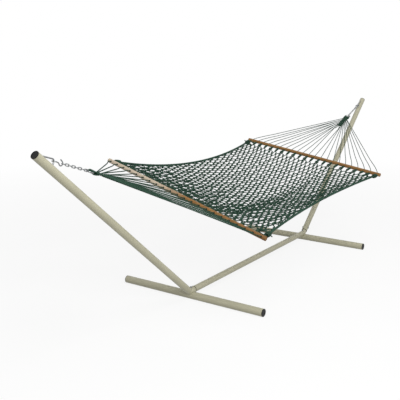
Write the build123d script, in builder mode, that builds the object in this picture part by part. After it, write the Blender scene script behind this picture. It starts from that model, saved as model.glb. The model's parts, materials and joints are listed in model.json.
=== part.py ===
import os
from math import copysign, cos, hypot, radians, sin, tan

from build123d import *

os.makedirs("parts", exist_ok=True)

# Stand tubes, in millimetres and degrees
UPRIGHT_OD = 50.8
UPRIGHT_WALL = 1.5
UPRIGHT_LENGTH = 1845.0
UPRIGHT_ANGLE = 40.5
BEAM_WALL = 1.6
SLIP_GAP = 0.2
CORNER_SPACING = 1926.0
SOCKET_LENGTH = 52.0
BEAM_STOP = 8.0
SLEEVE_RIM = 30.0
SLEEVE_DEPTH = 150.0
FOOT_OD = 57.2
FOOT_WALL = 1.6
FOOT_LENGTH = 1220.0
FOOT_INSET = 18.0

# Foot seats, plugs and fasteners of the stand
SEAT_DEPTH = 22.0
SEAT_GAP = 0.2
PLUG_FLANGE = 5.0
PLUG_ROUND = 2.0
PLUG_DEPTH = 22.0
PLUG_WALL = 2.5
PLUG_DISH_RIM = 6.5
PLUG_DISH_DEPTH = 1.2
BOLT_DIAMETER = 8.0
BOLT_HOLE_GAP = 0.4
THREAD_GAP = 0.1
BOLT_HEAD_DIAMETER = 13.0
BOLT_HEAD_HEIGHT = 6.0
BOLT_TAIL = 3.0
HEX_KEY = 6.0
HEX_KEY_DEPTH = 3.5
WASHER_DIAMETER = 16.0
WASHER_THICKNESS = 1.6
NUT_FLATS = 13.0
NUT_HEIGHT = 6.5
SLEEVE_BOLT_RISE = 36.0

# Hook loop welded on each upright, measured down the tube from its top end
LOOP_ROD = 8.5
LOOP_START = 46.0
LOOP_PEAK = 128.0
LOOP_END = 139.0
LOOP_RISE = 32.0
LOOP_BEND = 12.0
WELD_GAP = 0.1

# Hanging hardware
RUN_GAP = 0.3
HOOK_WIRE = 7.0
HOOK_EYE_RADIUS = 14.0
HOOK_MOUTH_RADIUS = 14.0
HOOK_LEAN = 60.0
HOOK_EYE_TIP = 8.0
HOOK_MOUTH_SWEEP = 150.0
HOOK_MOUTH_TIP = 16.0
LINK_WIRE = 5.0
LINK_PITCH = 26.0
LINK_WIDTH = 8.0
LINK_COUNT = 8
RING_WIRE = 7.0
RING_RADIUS = 24.0

# Hammock bed and its spreader bars
BAR_SPACING = 2146.0
BAR_HEIGHT = 798.0
BAR_DIAMETER = 32.0
BAR_LENGTH = 1400.0
BAR_ROUND = 4.0
NEAR_TILT = 16.3
FAR_TILT = 9.1
NEAR_SHIFT = -17.0
FAR_SHIFT = 0.0
CORD_DIAMETER = 6.0
CORD_COUNT = 22
HOLE_PITCH = 63.5
HOLE_GAP = 0.3
CORD_STAND_OFF = 8.0
CORD_BEND_REACH = 7.2
CORD_GRIP = 5.0

# Plaited neck between the ring and the fan of cords
PLAIT_LENGTH = 240.0
PLAIT_WEAVE = 165.0
PLAIT_THICKNESS = 15.0
PLAIT_NECK = 36.0
PLAIT_WIDTH = 58.0
PLAIT_TIP = 28.0
PLAIT_HEEL = 14.0
PLAIT_LAYER = 3.6

# Net, edge ropes and corner knots
BED_HALF_WIDTH = 680.0
EDGE_BOW = 65.0
FRONT_SAG = 5.0
BACK_SAG = 103.0
BED_SAG = 180.0
END_LOOP = 75.0
NET_THICKNESS = 8.0
NET_STRAND = 14.0
NET_RIM = 14.0
NET_SECTIONS = 7
GAP_ROWS = 11
GAP_COLUMNS = 10
EDGE_ROPE = 13.0
KNOT_DIAMETER = 30.0
KNOT_LENGTH = 48.0

# Sizes that follow from the ones above
UPRIGHT_ID = UPRIGHT_OD - 2 * UPRIGHT_WALL
BEAM_OD = UPRIGHT_ID - 2 * SLIP_GAP
BEAM_ID = BEAM_OD - 2 * BEAM_WALL
FOOT_ID = FOOT_OD - 2 * FOOT_WALL
BOLT_HOLE = BOLT_DIAMETER + 2 * BOLT_HOLE_GAP
CORNER_HEIGHT = FOOT_OD + UPRIGHT_OD / 2 - SEAT_DEPTH
SEAT_RADIUS = {"near": UPRIGHT_OD / 2 + SEAT_GAP, "far": BEAM_OD / 2 + SEAT_GAP}
ENDS = {"near": -1, "far": 1}
TILT = {"near": NEAR_TILT, "far": FAR_TILT}
SHIFT = {"near": NEAR_SHIFT, "far": FAR_SHIFT}
SIDES = {"front": -1, "back": 1}


def write_piece(part, name):
    part.label = name
    export_step(part, f"parts/{name}.step")


def corner_point(side):
    return Vector(side * CORNER_SPACING / 2, 0, CORNER_HEIGHT)


def foot_centre(side):
    return Vector(side * (CORNER_SPACING / 2 - FOOT_INSET), 0, FOOT_OD / 2)


def upright_direction(side):
    angle = radians(UPRIGHT_ANGLE)
    return Vector(side * cos(angle), 0, sin(angle))


def upright_point(side, distance):
    return corner_point(side) + upright_direction(side) * distance


def square_plane(start, end):
    return Plane(origin=start, z_dir=Vector(*end) - Vector(*start))


def cutting_rod(start, end, radius):
    lying = square_plane((start + end) / 2, end)
    return lying.location * Cylinder(radius, (end - start).length, mode=Mode.PRIVATE)


def upright_rod(side, radius):
    return cutting_rod(corner_point(side), upright_point(side, UPRIGHT_LENGTH), radius)


def foot_rod(side, radius):
    reach = Vector(0, FOOT_LENGTH / 2, 0)
    return cutting_rod(foot_centre(side) - reach, foot_centre(side) + reach, radius)


def beam_rod(side, radius):
    reach = Vector(CORNER_SPACING / 2, 0, 0)
    return cutting_rod(corner_point(side) - reach, corner_point(side) + reach, radius)


# Stand: the near upright ends in a mitred level socket for the beam
with BuildPart() as near_upright:
    socket_rim = corner_point(-1) + Vector(SOCKET_LENGTH, 0, 0)
    upright_top = upright_point(-1, UPRIGHT_LENGTH)
    with BuildLine() as near_route:
        Polyline(upright_top, corner_point(-1), socket_rim)
    with BuildSketch(square_plane(upright_top, corner_point(-1))):
        Circle(UPRIGHT_OD / 2)
        Circle(UPRIGHT_ID / 2, mode=Mode.SUBTRACT)
    sweep(path=near_route.wire(), transition=Transition.RIGHT)
    with Locations(foot_centre(-1)):
        Cylinder(BOLT_HOLE / 2, 4 * CORNER_HEIGHT, mode=Mode.SUBTRACT)
write_piece(near_upright.part, "near_upright")

# Stand: the beam plugs into the socket and turns up inside the far upright
with BuildPart() as centre_beam:
    beam_start = corner_point(-1) + Vector(BEAM_STOP, 0, 0)
    beam_tip = upright_point(1, SLEEVE_DEPTH)
    with BuildLine() as beam_route:
        Polyline(beam_start, corner_point(1), beam_tip)
    with BuildSketch(square_plane(beam_start, corner_point(1))):
        Circle(BEAM_OD / 2)
        Circle(BEAM_ID / 2, mode=Mode.SUBTRACT)
    sweep(path=beam_route.wire(), transition=Transition.RIGHT)
    with Locations(foot_centre(-1), foot_centre(1)):
        Cylinder(BOLT_HOLE / 2, 4 * CORNER_HEIGHT, mode=Mode.SUBTRACT)
    with Locations(upright_point(1, SLEEVE_RIM + SLEEVE_BOLT_RISE)):
        Cylinder(BOLT_HOLE / 2, 2 * UPRIGHT_OD, rotation=(90, 0, 0), mode=Mode.SUBTRACT)
write_piece(centre_beam.part, "centre_beam")

# Stand: the far upright sleeves over the beam's upturned end
with BuildPart() as far_upright:
    sleeve_rim = upright_point(1, SLEEVE_RIM)
    with BuildSketch(square_plane(sleeve_rim, upright_point(1, UPRIGHT_LENGTH))):
        Circle(UPRIGHT_OD / 2)
        Circle(UPRIGHT_ID / 2, mode=Mode.SUBTRACT)
    extrude(amount=UPRIGHT_LENGTH - SLEEVE_RIM)
    with Locations(upright_point(1, SLEEVE_RIM + SLEEVE_BOLT_RISE)):
        Cylinder(BOLT_HOLE / 2, 2 * UPRIGHT_OD, rotation=(90, 0, 0), mode=Mode.SUBTRACT)
write_piece(far_upright.part, "far_upright")

# Stand: foot tubes across the stand, each pressed in at its middle to seat the tube that rests on it
for end, side in ENDS.items():
    pressed = beam_rod(side, SEAT_RADIUS[end] + FOOT_WALL) & foot_rod(side, FOOT_OD / 2)
    with BuildPart() as foot:
        with BuildSketch(Plane(origin=foot_centre(side), z_dir=(0, 1, 0))):
            Circle(FOOT_OD / 2)
            Circle(FOOT_ID / 2, mode=Mode.SUBTRACT)
        extrude(amount=FOOT_LENGTH / 2, both=True)
        add(pressed)
        add(beam_rod(side, SEAT_RADIUS[end]), mode=Mode.SUBTRACT)
        with Locations(foot_centre(side)):
            upwards = (Align.CENTER, Align.CENTER, Align.MIN)
            Cylinder(BOLT_HOLE / 2, FOOT_OD, align=upwards, mode=Mode.SUBTRACT)
    write_piece(foot.part, f"{end}_foot")

# Stand: plugs that close the tube ends
PLUG_SEATS = {
    f"{end}_upright_plug": (
        square_plane(upright_point(side, UPRIGHT_LENGTH), upright_point(side, UPRIGHT_LENGTH + 1)),
        UPRIGHT_OD,
        UPRIGHT_ID,
    )
    for end, side in ENDS.items()
}
for end, side in ENDS.items():
    for face, sign in SIDES.items():
        tube_end = foot_centre(side) + Vector(0, sign * FOOT_LENGTH / 2, 0)
        outward = Plane(origin=tube_end, z_dir=(0, sign, 0))
        PLUG_SEATS[f"{end}_foot_{face}_plug"] = (outward, FOOT_OD, FOOT_ID)
for name, (seat, outer, inner) in PLUG_SEATS.items():
    spigot = inner / 2 - SLIP_GAP
    with BuildPart() as plug:
        with BuildSketch(seat):
            Circle(outer / 2)
        extrude(amount=PLUG_FLANGE)
        rim = plug.edges().filter_by(GeomType.CIRCLE).sort_by(Axis(seat.origin, seat.z_dir))[-1]
        fillet(rim, PLUG_ROUND)
        with BuildSketch(seat.offset(PLUG_FLANGE)):
            Circle(outer / 2 - PLUG_DISH_RIM)
        extrude(amount=-PLUG_DISH_DEPTH, mode=Mode.SUBTRACT)
        with BuildSketch(seat):
            Circle(spigot)
            Circle(spigot - PLUG_WALL, mode=Mode.SUBTRACT)
        extrude(amount=-PLUG_DEPTH)
    write_piece(plug.part, name)

# Stand: one bolt at each corner holds tube and foot together, with its nut under the pressed seat
for end, side in ENDS.items():
    washer_top = CORNER_HEIGHT + SEAT_RADIUS[end] - SEAT_GAP + WASHER_THICKNESS
    nut_seat = SEAT_RADIUS[end] + FOOT_WALL + SEAT_GAP
    nut_base = CORNER_HEIGHT - nut_seat - NUT_HEIGHT
    axis_x = foot_centre(side).X
    with BuildPart() as corner_bolt:
        with BuildSketch(Plane.XY.offset(nut_base - BOLT_TAIL)):
            with Locations((axis_x, 0)):
                Circle(BOLT_DIAMETER / 2)
        extrude(amount=washer_top - nut_base + BOLT_TAIL)
        with BuildSketch(Plane.XY.offset(washer_top)):
            with Locations((axis_x, 0)):
                Circle(BOLT_HEAD_DIAMETER / 2)
        extrude(amount=BOLT_HEAD_HEIGHT)
        with BuildSketch(Plane.XY.offset(washer_top + BOLT_HEAD_HEIGHT)):
            with Locations((axis_x, 0)):
                RegularPolygon(HEX_KEY / 2, 6, major_radius=False)
        extrude(amount=-HEX_KEY_DEPTH, mode=Mode.SUBTRACT)
    write_piece(corner_bolt.part, f"{end}_corner_bolt")
    with BuildPart() as corner_washer:
        with BuildSketch(Plane.XY.offset(washer_top)):
            with Locations((axis_x, 0)):
                Circle(WASHER_DIAMETER / 2)
                Circle(BOLT_DIAMETER / 2 + THREAD_GAP, mode=Mode.SUBTRACT)
        extrude(amount=-2 * WASHER_THICKNESS)
        add(beam_rod(side, SEAT_RADIUS[end]), mode=Mode.SUBTRACT)
    write_piece(corner_washer.part, f"{end}_corner_washer")
    with BuildPart() as corner_nut:
        with BuildSketch(Plane.XY.offset(nut_base)):
            with Locations((axis_x, 0)):
                RegularPolygon(NUT_FLATS / 2, 6, major_radius=False)
                Circle(BOLT_DIAMETER / 2 + THREAD_GAP, mode=Mode.SUBTRACT)
        extrude(amount=2 * NUT_HEIGHT)
        add(beam_rod(side, nut_seat), mode=Mode.SUBTRACT)
    write_piece(corner_nut.part, f"{end}_corner_nut")

# Stand: cross bolt and nut that lock the far upright on the beam
cross_seat = Plane(origin=upright_point(1, SLEEVE_RIM + SLEEVE_BOLT_RISE), z_dir=(0, -1, 0))
with BuildPart() as sleeve_bolt:
    with BuildSketch(cross_seat.offset(UPRIGHT_OD / 2 + SEAT_GAP)):
        Circle(BOLT_HEAD_DIAMETER / 2)
    extrude(amount=BOLT_HEAD_HEIGHT)
    with BuildSketch(cross_seat.offset(UPRIGHT_OD / 2 + SEAT_GAP + BOLT_HEAD_HEIGHT)):
        RegularPolygon(HEX_KEY / 2, 6, major_radius=False)
    extrude(amount=-HEX_KEY_DEPTH, mode=Mode.SUBTRACT)
    with BuildSketch(cross_seat.offset(UPRIGHT_OD / 2 + SEAT_GAP)):
        Circle(BOLT_DIAMETER / 2)
    extrude(amount=-(UPRIGHT_OD + 2 * SEAT_GAP + NUT_HEIGHT + BOLT_TAIL))
write_piece(sleeve_bolt.part, "sleeve_bolt")
with BuildPart() as sleeve_nut:
    with BuildSketch(cross_seat.offset(-UPRIGHT_OD / 2 - SEAT_GAP)):
        RegularPolygon(NUT_FLATS / 2, 6, major_radius=False)
        Circle(BOLT_DIAMETER / 2 + THREAD_GAP, mode=Mode.SUBTRACT)
    extrude(amount=-NUT_HEIGHT)
write_piece(sleeve_nut.part, "sleeve_nut")


# Hook loops: a bent rod welded to the upper side of each upright near its top
def loop_plane(side):
    down = upright_direction(side) * -1
    return Plane(origin=upright_point(side, UPRIGHT_LENGTH), x_dir=down, z_dir=(0, side, 0))


LOOP_FEET = UPRIGHT_OD / 2 - UPRIGHT_WALL
LOOP_CORNERS = [
    (LOOP_START, LOOP_FEET),
    (LOOP_PEAK, UPRIGHT_OD / 2 + LOOP_RISE),
    (LOOP_END, LOOP_FEET),
]
for end, side in ENDS.items():
    with BuildPart() as hook_loop:
        with BuildLine(loop_plane(side)) as loop_route:
            FilletPolyline(*LOOP_CORNERS, radius=LOOP_BEND)
        loop_wire = loop_route.wire()
        with BuildSketch(Plane(origin=loop_wire @ 0, z_dir=loop_wire % 0)):
            Circle(LOOP_ROD / 2)
        sweep(path=loop_wire)
        add(upright_rod(side, UPRIGHT_OD / 2 + WELD_GAP), mode=Mode.SUBTRACT)
    write_piece(hook_loop.part, f"{end}_hook_loop")


# The hook bears where the loop's bend faces the spreader bar's middle
def bend_centre(side):
    start, peak, finish = (Vector(*corner) for corner in LOOP_CORNERS)
    to_start = (start - peak).normalized()
    to_finish = (finish - peak).normalized()
    middle = (to_start + to_finish).normalized()
    half_angle = radians(to_start.get_angle(to_finish) / 2)
    inner = peak + middle * (LOOP_BEND / sin(half_angle))
    return loop_plane(side).from_local_coords(inner)


def pull_plane(side):
    toward = Vector(side * BAR_SPACING / 2, 0, BAR_HEIGHT) - bend_centre(side)
    along = toward.normalized()
    level = Vector(0, -side, 0)
    return Plane(origin=bend_centre(side) + along * LOOP_BEND, x_dir=along, z_dir=along.cross(level))


def edge_on(plane):
    return Plane(origin=plane.origin, x_dir=plane.x_dir, z_dir=plane.y_dir * -1)


# Places along the pull line, from the rod that the hook hangs on
EYE_CENTRE = HOOK_EYE_RADIUS - (LOOP_ROD + HOOK_WIRE) / 2 - RUN_GAP
LEAN = radians(HOOK_LEAN)
EYE_CURVE = HOOK_EYE_RADIUS / (2 * (1 - cos(LEAN)))
MOUTH_CURVE = HOOK_MOUTH_RADIUS / (2 * (1 - cos(LEAN)))
HOOK_WAIST = EYE_CENTRE + 2 * EYE_CURVE * sin(LEAN)
MOUTH_CENTRE = HOOK_WAIST + 2 * MOUTH_CURVE * sin(LEAN)
LINK_END_RADIUS = (LINK_WIDTH + LINK_WIRE) / 2
LINK_INNER = LINK_PITCH + RUN_GAP
LINK_STRAIGHT = LINK_INNER / 2 + LINK_WIRE / 2 - LINK_END_RADIUS
FIRST_LINK = MOUTH_CENTRE + HOOK_MOUTH_RADIUS - HOOK_WIRE / 2 - RUN_GAP + LINK_INNER / 2
LAST_LINK = FIRST_LINK + (LINK_COUNT - 1) * LINK_PITCH
RING_CENTRE = LAST_LINK + LINK_INNER / 2 - RUN_GAP - RING_WIRE / 2 + RING_RADIUS

# Hooks: twisted S hooks whose eyes hang on the loops and whose mouths hold the chains
for end, side in ENDS.items():
    flat = pull_plane(side)
    upright_face = edge_on(flat)
    with BuildPart() as s_hook:
        with BuildLine(flat) as eye_route:
            tip = Line((EYE_CENTRE + HOOK_EYE_TIP, HOOK_EYE_RADIUS), (EYE_CENTRE, HOOK_EYE_RADIUS))
            eye = JernArc(tip @ 1, tip % 1, HOOK_EYE_RADIUS, 180)
            lean = JernArc(eye @ 1, eye % 1, EYE_CURVE, HOOK_LEAN)
            JernArc(lean @ 1, lean % 1, EYE_CURVE, -HOOK_LEAN)
        eye_wire = eye_route.wire()
        with BuildSketch(Plane(origin=eye_wire @ 0, z_dir=eye_wire % 0)):
            Circle(HOOK_WIRE / 2)
        sweep(path=eye_wire)
        with BuildLine(upright_face) as mouth_route:
            dip = JernArc((HOOK_WAIST, 0), (1, 0), MOUTH_CURVE, -HOOK_LEAN)
            back = JernArc(dip @ 1, dip % 1, MOUTH_CURVE, HOOK_LEAN)
            mouth = JernArc(back @ 1, back % 1, HOOK_MOUTH_RADIUS, HOOK_MOUTH_SWEEP)
            Line(mouth @ 1, (mouth @ 1) + (mouth % 1) * HOOK_MOUTH_TIP)
        mouth_wire = mouth_route.wire()
        with BuildSketch(Plane(origin=mouth_wire @ 0, z_dir=mouth_wire % 0)):
            Circle(HOOK_WIRE / 2)
        sweep(path=mouth_wire)
    write_piece(s_hook.part, f"{end}_s_hook")

# Chains: links turned a quarter turn from one to the next
for end, side in ENDS.items():
    flat = pull_plane(side)
    with BuildPart() as chain:
        for index in range(LINK_COUNT):
            face = flat if index % 2 == 0 else edge_on(flat)
            place = face.location * Pos(FIRST_LINK + index * LINK_PITCH, 0, 0)
            with BuildLine(Plane(place)) as link_route:
                top = Line((-LINK_STRAIGHT, LINK_END_RADIUS), (LINK_STRAIGHT, LINK_END_RADIUS))
                outer_end = JernArc(top @ 1, top % 1, LINK_END_RADIUS, -180)
                low = Line(outer_end @ 1, (outer_end @ 1) + (outer_end % 1) * 2 * LINK_STRAIGHT)
                JernArc(low @ 1, low % 1, LINK_END_RADIUS, -180)
            link_wire = link_route.wire()
            with BuildSketch(Plane(origin=link_wire @ 0, z_dir=link_wire % 0)):
                Circle(LINK_WIRE / 2)
            sweep(path=link_wire)
    write_piece(chain.part, f"{end}_chain")


# Spreader bars: tilted dowels with a row of cord holes along the pull line
def bar_direction(end):
    tilt = radians(TILT[end])
    return Vector(0, cos(tilt), sin(tilt))


def bar_point(end, offset):
    centre = Vector(ENDS[end] * BAR_SPACING / 2, SHIFT[end], BAR_HEIGHT)
    return centre + bar_direction(end) * offset


def clew_plane(end):
    pull = pull_plane(ENDS[end])
    origin = pull.origin + pull.x_dir * RING_CENTRE
    across = bar_direction(end) * -ENDS[end]
    return Plane(origin=origin, x_dir=pull.x_dir, z_dir=pull.x_dir.cross(across))


HOLE_OFFSETS = [(index - (CORD_COUNT - 1) / 2) * HOLE_PITCH for index in range(CORD_COUNT)]
for end, side in ENDS.items():
    drill = pull_plane(side).x_dir
    with BuildPart() as bar:
        with BuildSketch(Plane(origin=bar_point(end, 0), z_dir=bar_direction(end))):
            Circle(BAR_DIAMETER / 2)
        extrude(amount=BAR_LENGTH / 2, both=True)
        fillet(bar.edges().filter_by(GeomType.CIRCLE), BAR_ROUND)
        for offset in HOLE_OFFSETS:
            with Locations(Plane(origin=bar_point(end, offset), z_dir=drill)):
                Cylinder(CORD_DIAMETER / 2 + HOLE_GAP, 2 * BAR_DIAMETER, mode=Mode.SUBTRACT)
    write_piece(bar.part, f"{end}_spreader_bar")

# Rings: they lie in the plane of the cords
for end in ENDS:
    with BuildPart() as ring:
        with Locations(clew_plane(end)):
            Torus(RING_RADIUS, RING_WIRE / 2)
    write_piece(ring.part, f"{end}_ring")

# Plaited necks: they grip the ring and narrow as the cords leave on both sides
PLAIT_START = RING_RADIUS + PLAIT_HEEL


def plait_half_width(distance):
    share = (distance - PLAIT_START) / (PLAIT_LENGTH - PLAIT_START)
    return (PLAIT_WIDTH + (PLAIT_TIP - PLAIT_WIDTH) * share) / 2


for end in ENDS:
    fan = clew_plane(end)
    heel = RING_RADIUS - PLAIT_HEEL
    with BuildPart() as plait:
        with BuildSketch(fan):
            with BuildLine():
                Polyline(
                    (heel, -PLAIT_NECK / 2),
                    (RING_RADIUS, -PLAIT_NECK / 2),
                    (PLAIT_START, -PLAIT_WIDTH / 2),
                    (PLAIT_LENGTH, -PLAIT_TIP / 2),
                    (PLAIT_LENGTH, PLAIT_TIP / 2),
                    (PLAIT_START, PLAIT_WIDTH / 2),
                    (RING_RADIUS, PLAIT_NECK / 2),
                    (heel, PLAIT_NECK / 2),
                    close=True,
                )
            make_face()
        extrude(amount=PLAIT_THICKNESS / 2, both=True)
        with Locations(fan):
            Torus(RING_RADIUS, RING_WIRE / 2 + RUN_GAP, mode=Mode.SUBTRACT)
    write_piece(plait.part, f"{end}_clew_plait")


# Bed surface: along runs from the near bar to the far bar, across from front edge to back edge
def bed_point(along, across):
    fullness = 4 * along * (1 - along)
    tilt = radians(NEAR_TILT + (FAR_TILT - NEAR_TILT) * along)
    shift = NEAR_SHIFT + (FAR_SHIFT - NEAR_SHIFT) * along
    lateral = across * (BED_HALF_WIDTH - EDGE_BOW * fullness)
    edge_sag = FRONT_SAG if across < 0 else BACK_SAG
    sag = (BED_SAG + (edge_sag - BED_SAG) * across**2) * fullness
    return Vector(
        (along - 0.5) * BAR_SPACING,
        shift + lateral * cos(tilt) + sag * sin(tilt),
        BAR_HEIGHT + lateral * sin(tilt) - sag * cos(tilt),
    )


def end_share(end, distance):
    share = distance / BAR_SPACING
    return share if end == "near" else 1 - share


def bend_radius(before, corner, after):
    half_turn = radians((corner - before).get_angle(after - corner) / 2)
    return CORD_BEND_REACH / tan(half_turn)


# Clew cords: from the plait through the bar's holes to the end of the net
for end, side in ENDS.items():
    fan = clew_plane(end)
    drill = fan.x_dir
    stand_off = drill * (BAR_DIAMETER / 2 + CORD_STAND_OFF)
    with BuildPart() as cords:
        for index, offset in enumerate(HOLE_OFFSETS):
            leaving = PLAIT_LENGTH - abs(offset) / HOLE_OFFSETS[-1] * PLAIT_WEAVE
            row = -side * copysign(plait_half_width(leaving) - CORD_GRIP, offset)
            layer = PLAIT_LAYER if index % 2 == 0 else -PLAIT_LAYER
            root = fan.from_local_coords(Vector(leaving, row, layer))
            hole = bar_point(end, offset)
            net_end = bed_point(end_share(end, END_LOOP + CORD_GRIP), offset / BED_HALF_WIDTH)
            entry = hole - stand_off
            way_out = hole + stand_off
            radii = [bend_radius(root, entry, way_out), bend_radius(entry, way_out, net_end)]
            with BuildLine() as cord_route:
                FilletPolyline(root, entry, way_out, net_end, radius=radii)
            cord_wire = cord_route.wire()
            with BuildSketch(Plane(origin=cord_wire @ 0, z_dir=cord_wire % 0)):
                Circle(CORD_DIAMETER / 2)
            sweep(path=cord_wire)
    write_piece(cords.part, f"{end}_clew_cords")

# Net: one sagging sheet, lofted from bar to bar, with staggered diamond gaps
NET_START = END_LOOP / BAR_SPACING
NET_SPAN = 1 - 2 * NET_START


def net_section(along):
    edges = [bed_point(along, across) for across in (-1, 0, 1)]
    half = Vector(0, 0, NET_THICKNESS / 2)
    return [point - half for point in edges], [point + half for point in edges]


def gap_face(along, across, reach, half_width):
    corners = [(-reach, 0), (0, -half_width), (reach, 0), (0, half_width)]
    points = [bed_point(along + ahead, across + aside) for ahead, aside in corners]
    return Face(Wire.make_polygon([(point.X, point.Y) for point in points]))


def flat_point(along, across):
    point = bed_point(along, across)
    return (point.X, point.Y)


GAP_START = NET_START + NET_RIM / BAR_SPACING
ROW_STEP = (1 - 2 * GAP_START) / GAP_ROWS
COLUMN_STEP = 2 / GAP_COLUMNS
HALF_ROW = ROW_STEP * BAR_SPACING / 2
HALF_COLUMN = COLUMN_STEP * BED_HALF_WIDTH / 2
STRAND_SHARE = NET_STRAND / 2 * hypot(HALF_ROW, HALF_COLUMN) / (HALF_ROW * HALF_COLUMN)

gaps = []
for half_row in range(2 * GAP_ROWS + 1):
    columns = GAP_COLUMNS + 1 if half_row % 2 == 0 else GAP_COLUMNS
    for column in range(columns):
        gaps.append(
            gap_face(
                GAP_START + half_row * ROW_STEP / 2,
                (column - (columns - 1) / 2) * COLUMN_STEP,
                (1 - STRAND_SHARE) * ROW_STEP / 2,
                (1 - STRAND_SHARE) * COLUMN_STEP / 2,
            )
        )

with BuildSketch() as gap_pattern:
    edge = 1 - NET_RIM / BED_HALF_WIDTH
    with BuildLine():
        front = ThreePointArc(*[flat_point(along, -edge) for along in (GAP_START, 0.5, 1 - GAP_START)])
        back = ThreePointArc(*[flat_point(along, edge) for along in (GAP_START, 0.5, 1 - GAP_START)])
        Line(front @ 0, back @ 0)
        Line(front @ 1, back @ 1)
    make_face()
    add(gaps, mode=Mode.INTERSECT)

with BuildPart() as bed_net:
    for section in range(NET_SECTIONS):
        along = NET_START + NET_SPAN * section / (NET_SECTIONS - 1)
        lower, upper = net_section(along)
        with BuildSketch(Plane(origin=(lower[0].X, 0, 0), x_dir=(0, 1, 0), z_dir=(1, 0, 0))):
            with BuildLine():
                ThreePointArc(*[(point.Y, point.Z) for point in lower])
                Line((lower[2].Y, lower[2].Z), (upper[2].Y, upper[2].Z))
                ThreePointArc(*[(point.Y, point.Z) for point in reversed(upper)])
                Line((upper[0].Y, upper[0].Z), (lower[0].Y, lower[0].Z))
            make_face()
    loft()
    extrude(gap_pattern.sketch, amount=2 * BAR_HEIGHT, dir=(0, 0, 1), mode=Mode.SUBTRACT)
write_piece(bed_net.part, "bed_net")

# Edge ropes: heavy ropes along both sides of the net
for face, sign in SIDES.items():
    with BuildPart() as edge_rope:
        with BuildLine() as rope_route:
            ThreePointArc(bed_point(NET_START, sign), bed_point(0.5, sign), bed_point(1 - NET_START, sign))
        rope_wire = rope_route.wire()
        with BuildSketch(Plane(origin=rope_wire @ 0, z_dir=rope_wire % 0)):
            Circle(EDGE_ROPE / 2)
        sweep(path=rope_wire)
    write_piece(edge_rope.part, f"{face}_edge_rope")

# Corner knots: they tie each edge rope to the outermost cord
for end in ENDS:
    for face, sign in SIDES.items():
        place = bed_point(end_share(end, END_LOOP), sign)
        with BuildPart() as knot:
            with BuildSketch(Plane(origin=place, x_dir=(0, 0, 1), z_dir=(0, sign, 0))):
                Ellipse(KNOT_DIAMETER / 2, KNOT_LENGTH / 2)
                with Locations((-KNOT_DIAMETER / 2, 0)):
                    Rectangle(KNOT_DIAMETER, KNOT_LENGTH, mode=Mode.SUBTRACT)
            revolve(axis=Axis(place, (1, 0, 0)))
        write_piece(knot.part, f"{end}_{face}_knot")
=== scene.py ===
import json
import math

import bpy
import numpy as np
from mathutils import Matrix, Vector


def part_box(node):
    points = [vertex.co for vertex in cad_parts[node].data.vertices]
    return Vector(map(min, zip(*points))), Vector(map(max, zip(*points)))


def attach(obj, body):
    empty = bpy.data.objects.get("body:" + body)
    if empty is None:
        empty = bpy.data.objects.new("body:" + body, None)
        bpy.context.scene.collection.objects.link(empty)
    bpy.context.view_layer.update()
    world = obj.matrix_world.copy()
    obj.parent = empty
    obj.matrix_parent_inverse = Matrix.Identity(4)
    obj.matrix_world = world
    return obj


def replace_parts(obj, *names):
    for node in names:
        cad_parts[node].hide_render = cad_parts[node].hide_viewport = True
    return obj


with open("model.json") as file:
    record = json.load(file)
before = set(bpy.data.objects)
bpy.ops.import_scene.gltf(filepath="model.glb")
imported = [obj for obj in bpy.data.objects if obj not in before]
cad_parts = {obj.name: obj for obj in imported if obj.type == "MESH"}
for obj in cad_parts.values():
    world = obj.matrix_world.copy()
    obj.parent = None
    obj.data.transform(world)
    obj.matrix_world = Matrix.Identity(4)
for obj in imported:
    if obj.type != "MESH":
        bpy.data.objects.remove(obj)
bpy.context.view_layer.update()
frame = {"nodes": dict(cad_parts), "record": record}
NODES = frame["nodes"]
ENDS = {"near": -1, "far": 1}
SIDES = {"front": -1, "back": 1}

# Bed shape, in metres
BED_HALF_WIDTH = 0.680
EDGE_BOW = 0.065
FRONT_SAG = 0.005
BACK_SAG = 0.103
BED_SAG = 0.180
END_LOOP = 0.075

# Rope meshes: strands in a rope, sides of a tube that shows large, steps in a turn of a helix
LOBES = 3
FINE_SIDES = 9
TURN_STEPS = 10

# Clew cords
CORD_RADIUS = {"near": 0.0039, "far": 0.0034}
CORD_LAY = 0.036
CORD_COUNT = 22
HOLE_PITCH = 0.0635
CORD_STAND_OFF = 0.008
CORD_GRIP = 0.005
CORD_SHARES = (0, 0.25, 0.5, 0.75, 0.98)

# Necks of the cords' end loops, with the twine that binds them
NECK_START = 0.004
NECK_LENGTH = 0.050
NECK_TURNS = 10
LEG_HALF_GAP = 0.0040
TWINE_RADIUS = 0.0025
TWINE_LAY = CORD_LAY / 3
TWINE_STAND_OFF = TWINE_RADIUS * 0.8

# Edge ropes, and the turns of the net's rope around them
EDGE_RADIUS = 0.0092
EDGE_LAY = 0.060
EDGE_POINTS = 24
WRAP_REACH = EDGE_RADIUS * 0.6
WRAP_ANGLES = [math.radians(angle) for angle in (130, 60, 0, -60, -130)]
WRAP_STEPS = (-0.008, -0.004, 0, 0.004, 0.008)

# Net weave: levels of hooked bends, two to each row of diamonds
NET_RADIUS = 0.0045
NET_ROWS = 16
NET_COLUMNS = 33
LEVELS = 2 * NET_ROWS
LAST_POST = 2 * NET_COLUMNS - 2
BEND_PITCH = 0.013
GATHER_REACH = 1.0
HOOK_HALF_GAP = 0.0035
HOOK_TIP = 0.0075
HOOK_LEG = 0.021
HOOK_LIFT = 0.7 * NET_RADIUS
HOOK_SQUEEZE = (1, 0.9, 0.75, 0.9, 1)
NODE_DRIFT = (0.006, 0.004, 0.004)
SLACK_REACH = 0.12
SLACK_GAIN = 1.3
CREASE_PLACE = -0.31
CREASE_WIDTH = 0.16
CREASE_PULL = 0.028
CREASE_DROP = 0.010
NET_SHARES = ("near", "near_middle", "far_middle", "far")
SHARE_LEVELS = LEVELS // len(NET_SHARES)

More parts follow.
